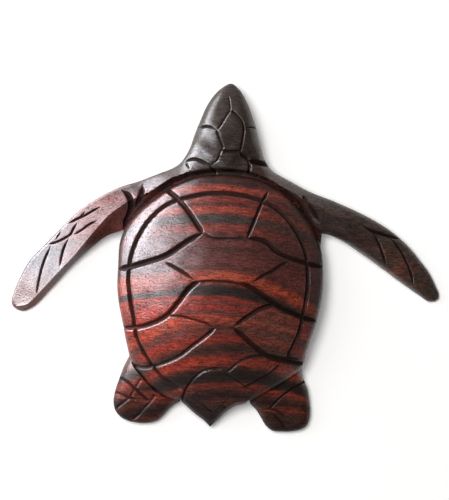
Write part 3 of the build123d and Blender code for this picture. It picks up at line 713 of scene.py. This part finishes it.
def fill(node, inputs):
    """Sets inputs of a node to numbers, vectors or colours, or links outputs to them."""
    for name, value in inputs.items():
        socket = node.inputs[name]
        if isinstance(value, bpy.types.NodeSocket):
            node.id_data.links.new(value, socket)
        elif isinstance(value, tuple):
            socket.default_value = (*value, 1)[:len(socket.default_value)]
        else:
            socket.default_value = value


def new_node(tree, kind, inputs, **settings):
    """A node with its settings made and its inputs filled."""
    made = tree.nodes.new(kind)
    for name, value in settings.items():
        setattr(made, name, value)
    fill(made, inputs)
    return made


def striped_wood():
    """Dark striped wood. A spot's place among the growth bands is its y, less its height's
    lean, plus the bands' droop, twist and slump to the sides and slow and close noise. Ramps
    turn that place into a tone. Over it lie patches of other tones, among them painted shade
    on the right and on the left front flipper's rear facet, painted glare and a painted red
    sheen on the left, and a painted haze on the shell's right rear; then streaks where
    stretched noise is high, a mottle that lightens or dulls, pores, and darker, redder cuts.
    The coat is a polish that pores, cuts and matt patches lack."""
    material = bpy.data.materials.new("striped_hardwood")
    material.use_nodes = True
    tree = material.node_tree
    tree.nodes.clear()

    def node(kind, inputs, output=0, **settings):
        """An output of a new node."""
        return new_node(tree, kind, inputs, **settings).outputs[output]

    def maths(operation, *values):
        return node("ShaderNodeMath", dict(enumerate(values)), operation=operation)

    def times(first, *others):
        for other in others:
            first = maths("MULTIPLY", first, other)
        return first

    def less(share, value):
        """One less a share of value."""
        return maths("MULTIPLY_ADD", value, -share, 1.0)

    def mixed(amount, first, second, blend="MIX"):
        colours = {0: amount, 6: first, 7: second}
        return node("ShaderNodeMix", colours, 2, data_type="RGBA", blend_type=blend)

    def stretched(scale):
        return node("ShaderNodeMapping", {"Scale": scale, "Vector": coordinates})

    def noise(waves, detail, roughness=0.5):
        """Noise with so many waves in a metre along each axis."""
        return node("ShaderNodeTexNoise", {
            "Scale": 1.0, "Detail": detail, "Roughness": roughness, "Vector": stretched(waves),
        }, "Fac")

    def stray(width, waves, detail):
        """Noise that strays by half a width to either side."""
        return maths("MULTIPLY_ADD", noise(waves, detail), width, -width / 2)

    def over(value, low, high):
        """How far value lies from low to high, kept between 0 and 1."""
        return node("ShaderNodeMapRange", {"From Min": low, "From Max": high, "Value": value})

    def patch(fades):
        return times(*(over(along[name], low, high) for name, low, high in fades))

    def laid_over(bands, patches):
        for tone, share, fades in patches:
            bands = mixed(times(patch(fades), share), bands, TONES[tone])
        return bands

    def ramp(bands):
        begin, length = bands[0][0], bands[-1][0] - bands[0][0]
        share = maths("DIVIDE", maths("SUBTRACT", along["band"], begin), length)
        made = new_node(tree, "ShaderNodeValToRGB", {0: share})
        stops = made.color_ramp.elements
        while len(stops) < len(bands):
            stops.new(0.5)
        for stop, (where, tone) in zip(stops, bands):
            stop.position = (where - begin) / length
            stop.color = (*TONES[tone], 1)
        return made.outputs[0]

    coordinates = node("ShaderNodeTexCoord", {}, "Object")
    x, y, z = new_node(
        tree, "ShaderNodeSeparateXYZ", {0: stretched((1 / METRE,) * 3)}
    ).outputs
    aside = maths("ABSOLUTE", x)
    ridge_line = maths("MULTIPLY_ADD", x, RIDGE_SLOPE, RIDGE_START)
    along = {"x": x, "y": y, "aside": aside, "behind_ridge": maths("SUBTRACT", ridge_line, y)}

    place = maths("ADD", y, times(z, -BAND_LEAN))
    for shift in (
        times(x, x, BAND_DROOP),
        times(x, patch(TWIST_FADE), -BAND_TWIST),
        times(x, aside, BAND_SLUMP, patch(SLUMP_FADES)),
        stray(BAND_WANDER, (16, 45, 45), 2.0),
        stray(BAND_RIPPLE, (40, 700, 260), 3.0),
    ):
        place = maths("ADD", place, shift)
    along["band"] = place
    in_front = maths("GREATER_THAN", place, FRONT_BANDS[0][0])
    bands = mixed(in_front, ramp(REAR_BANDS), ramp(FRONT_BANDS))

    # Among these patches are painted shade on the right and a painted haze on the shell's right
    # rear.
    bands = laid_over(bands, SHELL_TONE_AND_PAINTED_LIGHT_PATCHES)
    # Painted glare: paler rose on the left, where the lamps' reflection falls.
    paler = maths("MAXIMUM", *(patch(fades) for fades in PAINTED_GLARE_PATCHES))
    bands = mixed(times(paler, PAINTED_GLARE_SHARE), bands, TONES["rose"])
    # Painted glare at the left front flipper's far end, and painted shade on its rear facet.
    bands = laid_over(bands, LEFT_FLIPPER_TONE_AND_PAINTED_LIGHT_PATCHES)
    # Painted sheen: the left rear of the shell made redder.
    bands = mixed(patch(PAINTED_SHEEN_PATCH), bands, PAINTED_SHEEN_GAIN, "MULTIPLY")
    bands = laid_over(bands, REAR_PATCHES)

    # The painted glare calms the streaks and mottle.
    plain = less(PAINTED_GLARE_CALM, paler)
    fine, broad = noise((24, 1500, 420), 4.0, 0.7), noise((14, 480, 160), 3.0, 0.6)
    for streaks, (low, high, share) in ((fine, FINE_STREAKS), (broad, BROAD_STREAKS)):
        bands = mixed(times(over(streaks, low, high), plain, share), bands, TONES["bark"])
    mottle = over(noise((260, 1500, 1100), 3.0, 0.65), MOTTLE_FROM, MOTTLE_TO)
    mottle = maths("MULTIPLY_ADD", maths("SUBTRACT", mottle, 0.5), plain, 0.5)
    light, dull = (mixed(1.0, bands, gain, "MULTIPLY") for gain in (LIGHT_GAIN, DULL_GAIN))
    mottled = mixed(mottle, dull, light)

    speckle = noise((1100, 2600, 2600), 2.0, 0.6)
    pores = times(less(FILLED_PORES, patch(SMOOTH_TIP)), over(speckle, PORES_FROM, PORES_TO))
    pored = mixed(times(pores, PORE_SHARE), mottled, TONES["pore"])

    depth = node("ShaderNodeAttribute", {}, "Fac", attribute_name="cut_depth")
    rough_cut = maths("MAXIMUM", *(patch(fades) for fades in ROUGH_CUT_PATCHES))
    depth = times(depth, maths("MULTIPLY_ADD", rough_cut, ROUGH_CUT_GAIN, 1.0))
    cut = over(depth, CUT_FROM, CUT_TO)

    matt = 0.0
    for share, fades in MATT_PATCHES:
        matt = maths("MAXIMUM", matt, times(patch(fades), share))
    polish = times(less(PORE_MATT, pores), less(CUT_MATT, cut), less(1.0, matt))
    shine = maths("MULTIPLY_ADD", noise((60, 700, 700), 3.0), ROUGHNESS_SPREAD, ROUGHNESS)
    grain = node("ShaderNodeBump", {
        "Strength": GRAIN_STRENGTH, "Distance": GRAIN_HEIGHT * METRE,
        "Height": maths("SUBTRACT", noise((300, 2600, 1400), 4.0, 0.6), speckle),
    })
    surface = node("ShaderNodeBsdfPrincipled", {
        "Base Color": mixed(times(cut, CUT_SHARE), pored, TONES["cut"]),
        "Roughness": maths("MULTIPLY_ADD", pores, PORE_ROUGHNESS, shine),
        "Metallic": FIBRE_SHIMMER,
        "Specular IOR Level": 0.25,
        "Coat Weight": polish,
        "Coat Roughness": 0.22,
        "Coat IOR": 1.6,
        "Normal": grain,
        "Coat Normal": grain,
    })
    new_node(tree, "ShaderNodeOutputMaterial", {0: surface})
    return material


def add_shell():
    """The carapace: a square grid drawn out to the shell's round plan, so that no points crowd
    at the middle, over a wall and a flat underside. A square ring becomes a round one: its
    share of the way out stays, and the run along its side becomes an even turn."""
    cells = 262
    step = np.linspace(-1, 1, cells + 1)
    a, b = np.meshgrid(step, step, indexing="ij")
    ring_share = np.maximum(np.abs(a), np.abs(b))
    safe = np.maximum(ring_share, 1e-9)
    wide = np.abs(a) >= np.abs(b)
    turn = np.where(wide, pi / 4 * b / safe * np.sign(a), pi / 2 - pi / 4 * a / safe * np.sign(b))
    angle = np.where(np.where(wide, a, b) < 0, pi, 0) + turn
    way = np.stack([np.cos(angle), np.sin(angle)], axis=-1)
    plan = way * (reach_towards(way, shell_edge) * ring_share)[..., None]
    surface, cut = carve(np.dstack([plan, dome_height(plan)]), SHELL_LINES)

    count = (cells + 1) ** 2
    border = grid_border(cells + 1, cells + 1)[:-1]
    rim = surface.reshape(-1, 3)[border]
    foot = rim.copy()
    foot[:, 2] = SHELL_UNDERSIDE
    middle = np.array([[0, 0, SHELL_UNDERSIDE]])
    here = np.arange(len(border))
    after = (here + 1) % len(border)
    wall = np.column_stack([border[here], border[after], after + count, here + count])
    fan = np.column_stack([here + count, after + count, np.full(len(border), count + len(border))])
    points = np.concatenate([surface.reshape(-1, 3), foot, middle])
    faces = grid_faces(cells + 1, cells + 1).tolist() + wall.tolist() + fan.tolist()
    depth = np.concatenate([cut.ravel(), np.zeros(len(border) + 1)])
    add_piece("domed_shell", points, faces, depth, "carapace")


def add_front_flipper(name, side, joint, ridge_joint, crest, tip, lines, node):
    """A front flipper, with side -1 on the left and 1 on the right. Its rows run from the front
    edge to the ridge, and on to the rear edge. Its columns run from the shoulder joint to the
    tip, at equal shares of each line."""
    stations, front_rows, rear_rows = 280, 66, 40

    def outward(start, line, clear, *end):
        part = line[side * line[:, 0] > side * start[0] + clear][::side, :2]
        return even_steps([start, *part, *end], stations)

    front = outward(joint[0], front_edge, 0)
    ridge_part = outward(ridge_joint, crest, RIDGE_CLEAR, tip)
    rear = outward(joint[1], rear_edge, REAR_CLEAR)
    ahead = cross_rows(front, ridge_part, front_rows)
    behind = cross_rows(rear, ridge_part, rear_rows)[:, -2::-1]
    spots = np.concatenate([ahead, behind], axis=1)
    before_ridge = np.arange(spots.shape[1])[None, :] < front_rows
    top, bottom = body_heights(spots, np.broadcast_to(before_ridge, spots.shape[:2]))
    add_two_skins(name, spots, top, bottom, lines, False, node)


def add_head():
    """The head from the joint at the neck to the nose, with rows from edge to spine to edge,
    which lie on the way from each edge as cross_rows says."""
    stations, rows = 180, 72
    outline = front_edge[front_edge[:, 1] >= HEAD_CUT]
    nose = outline[:, 1].argmax()
    beyond_neck = spine[spine[:, 1] > HEAD_CUT + SPINE_CLEAR][:, :2]
    left, right, middle = (even_steps(line, stations) for line in (
        [left_neck, *outline[:nose + 1]], [right_neck, *outline[nose:][::-1]],
        [(SPINE[0][0], HEAD_CUT), *beyond_neck, outline[nose]],
    ))
    spots = np.concatenate(
        [cross_rows(left, middle, rows), cross_rows(right, middle, rows)[:, -2::-1]], axis=1
    )
    top, bottom = body_heights(spots, np.ones(spots.shape[:2], bool))
    add_two_skins("carved_head", spots, top, bottom, HEAD_LINES, False, "head")


def add_belly():
    """The belly, shoulders and neck: rings from the outline in to the middle, each the outline
    times a share, and close together near the outline. Under the shell the top is the
    shell's seat. The underside is flat, and rounds up at the belly's sides."""
    around, fine_rows, coarse_rows, fine_share = 760, 46, 7, 0.3
    belly_left, belly_right = smooth_line(BELLY_LEFT, 2), smooth_line(BELLY_RIGHT, 2)
    low = front_edge[front_edge[:, 1] < HEAD_CUT]
    outline = np.concatenate([
        left_joint[:1], low[(low[:, 0] > LEFT_CUT[0]) & (low[:, 0] < 0)], [left_neck, right_neck],
        low[(low[:, 0] < RIGHT_CUT[0]) & (low[:, 0] > 0)], right_joint, belly_right[::-1],
        [RIGHT_TAIL_ROOT, LEFT_TAIL_ROOT], belly_left[::-1], left_joint[::-1],
    ])
    border = even_steps(outline, around + 1)[:-1]
    fine = 1 - fine_share * (1 - np.cos(np.linspace(0, pi / 2, fine_rows)))
    shares = np.concatenate([fine, np.linspace(1 - fine_share, 0, coarse_rows + 1)[1:]])
    spots = border[None] * shares[:, None, None]

    valley = even_steps(VALLEY, 60)
    valley = np.array([*valley, (42, 0), (36, -30), (0, -50), (-36, -30), (-42, 0)])
    reach, valley_reach = norm(spots, axis=-1), reach_towards(spots, valley)
    top, under_limbs = body_heights(spots, reach > reach_towards(spots, ridge))
    top = np.where(reach < valley_reach, SEAT, top)

    sides = np.minimum(distance_to(spots, belly_left), distance_to(spots, belly_right))
    under_belly = BELLY_LIFT * (1 - round_rise(sides / BELLY_ROUND))
    belly_share = ease((valley_reach - reach) / BELLY_FADE)
    bottom = under_limbs + (under_belly - under_limbs) * belly_share
    add_two_skins(
        "belly_and_shoulders", spots, top, bottom, SHOULDER_LINES + HEAD_LINES, True, "plastron",
    )


def add_paddle(name, edges, heights, lines, node):
    """A hind flipper or the tail: rows cross it from one edge to the other, and lie at shares
    of half of one less the cosine of an even turn, so that they are close at both edges.
    Under the shell the top is level."""
    stations, rows = 150, 90
    edges = [smooth_line(edge, 0.5) for edge in edges]
    left, right = (even_steps(edge, stations) for edge in edges)
    share = (1 - np.cos(np.linspace(0, pi, rows))) / 2
    spots = left[:, None] + (right - left)[:, None] * share[None, :, None]
    to_edge = np.minimum(*(distance_to(spots, edge) for edge in edges))
    top, bottom = heights(spots, to_edge)
    under_shell = norm(spots, axis=-1) < reach_towards(spots, shell_edge)
    top = np.where(under_shell, np.minimum(top, SHELL_UNDERSIDE), top)
    add_two_skins(name, spots, top, bottom, lines, False, node)


wood = striped_wood()
add_shell()
add_belly()
add_head()
add_front_flipper(
    "left_swimming_flipper", -1, left_joint, LEFT_RIDGE_JOINT, left_crest, front_edge[0],
    LEFT_FLIPPER_LINES + SHOULDER_LINES, "left_front_flipper",
)
add_front_flipper(
    "right_swimming_flipper", 1, right_joint, RIGHT_RIDGE_JOINT, right_crest, front_edge[-1],
    RIGHT_FLIPPER_LINES + SHOULDER_LINES, "right_front_flipper",
)
for column, (name, edges, lines, node) in enumerate([
    ("left_steering_flipper", LEFT_HIND_EDGES, LEFT_HIND_LINES, "left_hind_flipper"),
    ("right_steering_flipper", RIGHT_HIND_EDGES, RIGHT_HIND_LINES, "right_hind_flipper"),
]):
    crest = [(row[column], row[2], 0.0, *row[3:]) for row in HIND_CREST]
    hind_crest = smooth_line(crest, 1.0, step=0.5)
    add_paddle(name, edges, hind_heights, lines, node)
add_paddle("pointed_tail", TAIL_EDGES, tail_heights, TAIL_LINES, "tail")


def add_table():
    """A white table. Seen by the camera it is brightened to white, but keeps shadows."""
    mesh = bpy.data.meshes.new("table_top")
    half = 3.0
    corners = [(-half, -half, 0), (half, -half, 0), (half, half, 0), (-half, half, 0)]
    mesh.from_pydata(corners, [], [(0, 1, 2, 3)])
    table = bpy.data.objects.new("table_top", mesh)
    bpy.context.scene.collection.objects.link(table)
    material = bpy.data.materials.new("white_paper")
    material.use_nodes = True
    tree = material.node_tree
    seen = new_node(tree, "ShaderNodeLightPath", {}).outputs["Is Camera Ray"]
    level = new_node(tree, "ShaderNodeMath", {0: seen, 1: 0.22}, operation="MULTIPLY").outputs[0]
    fill(tree.nodes["Principled BSDF"], {
        "Base Color": (0.88, 0.88, 0.88), "Roughness": 0.9, "Emission Color": (1, 1, 1),
        "Emission Strength": level,
    })
    mesh.materials.append(material)


def add_lamp(name, place, size, power, colour, seen_in):
    """A soft oblong lamp that faces the carving. seen_in says whether it gives the polish its
    reflections ("glossy") or lights the wood ("diffuse"), so that each can be set alone."""
    data = bpy.data.lights.new(name, "AREA")
    data.shape = "RECTANGLE"
    data.size, data.size_y = size
    data.energy = power
    data.color = colour
    lamp = bpy.data.objects.new(name, data)
    lamp.location = place
    lamp.rotation_mode = "QUATERNION"
    lamp.rotation_quaternion = (-lamp.location).to_track_quat("-Z", "Y")
    lamp.visible_diffuse, lamp.visible_glossy = seen_in == "diffuse", seen_in == "glossy"
    bpy.context.scene.collection.objects.link(lamp)


add_table()
WINDOW, WHITE, WARM = (0.9, 0.93, 1.0), (1.0, 1.0, 1.0), (1.0, 0.99, 0.97)
for name, place, size, power, colour, seen_in in [
    ("side_window", (-0.812, 0.203, 0.547), (0.6, 1.06), 20.0, WINDOW, "glossy"),
    ("front_window", (-0.76, 0.625, 0.18), (0.85, 0.42), 19.5, WINDOW, "glossy"),
    ("window_glow", (-0.8, 0.3, 0.55), (1.0, 1.0), 3.3, WHITE, "diffuse"),
    ("ceiling", (-0.2, 0.15, 0.97), (0.36, 0.36), 8.4, WARM, "diffuse"),
]:
    add_lamp(name, place, size, power, colour, seen_in)

# The room: dim overhead, and paler towards the horizon.
world = bpy.data.worlds.new("room")
world.use_nodes = True
room = world.node_tree
direction = new_node(room, "ShaderNodeTexCoord", {}).outputs["Generated"]
upward = new_node(room, "ShaderNodeSeparateXYZ", {0: direction}).outputs["Z"]
paler_low = new_node(room, "ShaderNodeMapRange", {
    "From Min": 0.6, "From Max": 0.0, "To Min": 0.05, "To Max": 0.15, "Value": upward,
}).outputs[0]
fill(room.nodes["Background"], {"Strength": paler_low, "Color": WARM})
bpy.context.scene.world = world
bpy.context.scene.view_settings.view_transform = "Standard"

# The camera looks straight down on the carving from above the photo's middle.
CAMERA_X, CAMERA_Y, CAMERA_HEIGHT = 0.7, 13.0, 1500.0
CAMERA_TURN = radians(3.2)
FRAMED_LEVEL, FRAMED_HEIGHT = 8.0, 174.2  # the photo's long side takes in this much up there
SENSOR = 36
camera_data = bpy.data.cameras.new("camera")
camera_data.sensor_width = SENSOR
camera_data.lens = SENSOR * (CAMERA_HEIGHT - FRAMED_LEVEL) / FRAMED_HEIGHT
camera_data.clip_start, camera_data.clip_end = 0.1, 10
camera = bpy.data.objects.new("camera", camera_data)
camera.location = (CAMERA_X * METRE, CAMERA_Y * METRE, CAMERA_HEIGHT * METRE)
camera.rotation_euler = (0, 0, CAMERA_TURN)
bpy.context.scene.collection.objects.link(camera)
bpy.context.scene.camera = camera
